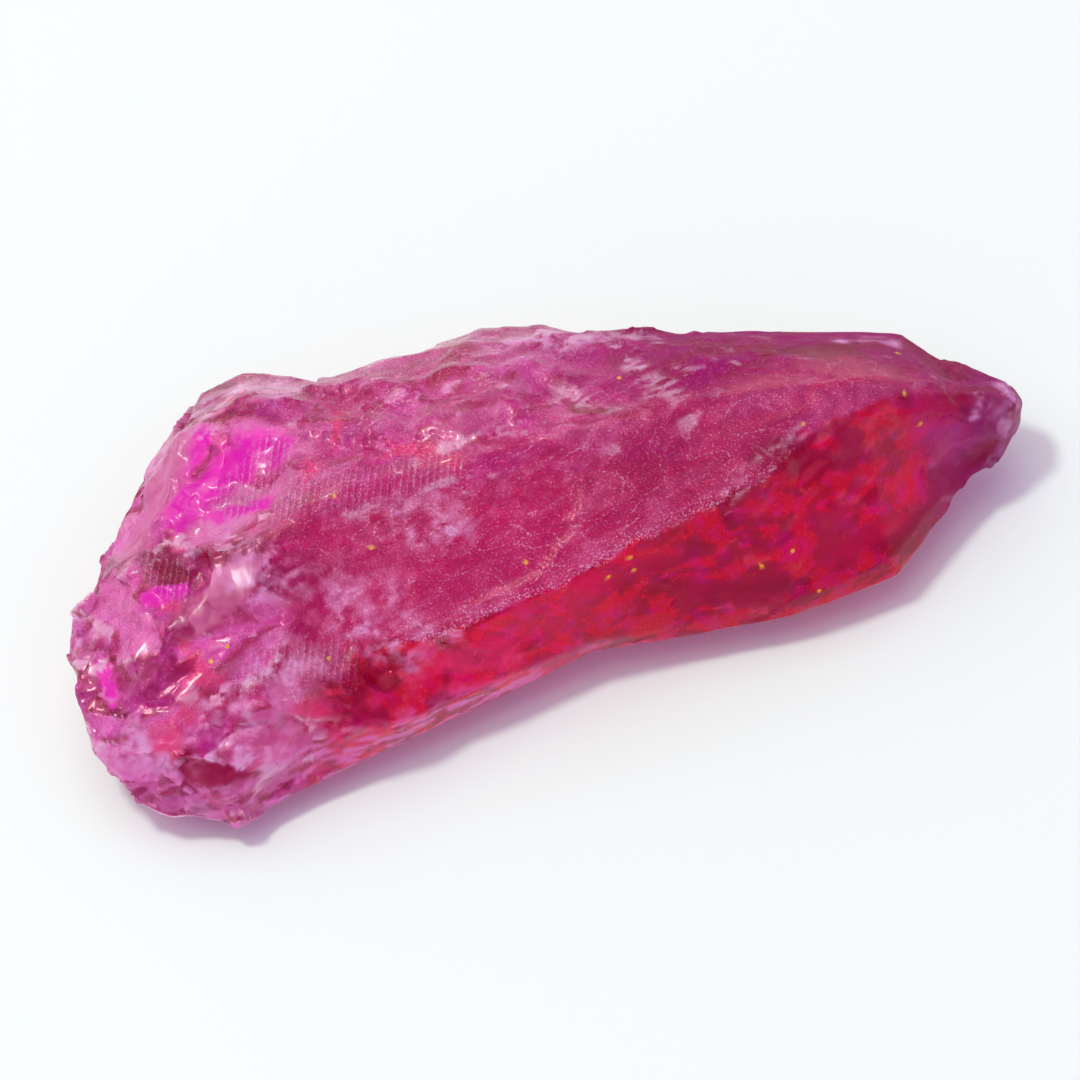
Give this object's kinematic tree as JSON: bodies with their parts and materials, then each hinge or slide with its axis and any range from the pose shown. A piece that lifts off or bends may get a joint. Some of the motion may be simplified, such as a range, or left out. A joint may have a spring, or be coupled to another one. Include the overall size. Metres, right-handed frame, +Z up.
{
  "type": "raw ruby crystal",
  "caption": "Natural rough ruby crystal: an elongated, tapering red-pink piece with long flat faces, a sharp ridge, a broken butt end and a blunt tip, lying on a flat sole.",
  "frame": {"origin": "bottom centre of the bounding box, on the plane of the flat sole", "axes": "+X along the crystal from the broken butt end to the tip, +Z up from the sole"},
  "size_m": [0.0252, 0.0114, 0.0057],
  "materials": {
    "ruby": "rough ruby: clear deep red inside, with frosted pink faces and worn pale edges"
  },
  "bodies": {
    "root": {"ruby_crystal": "ruby"}
  },
  "joints": []
}
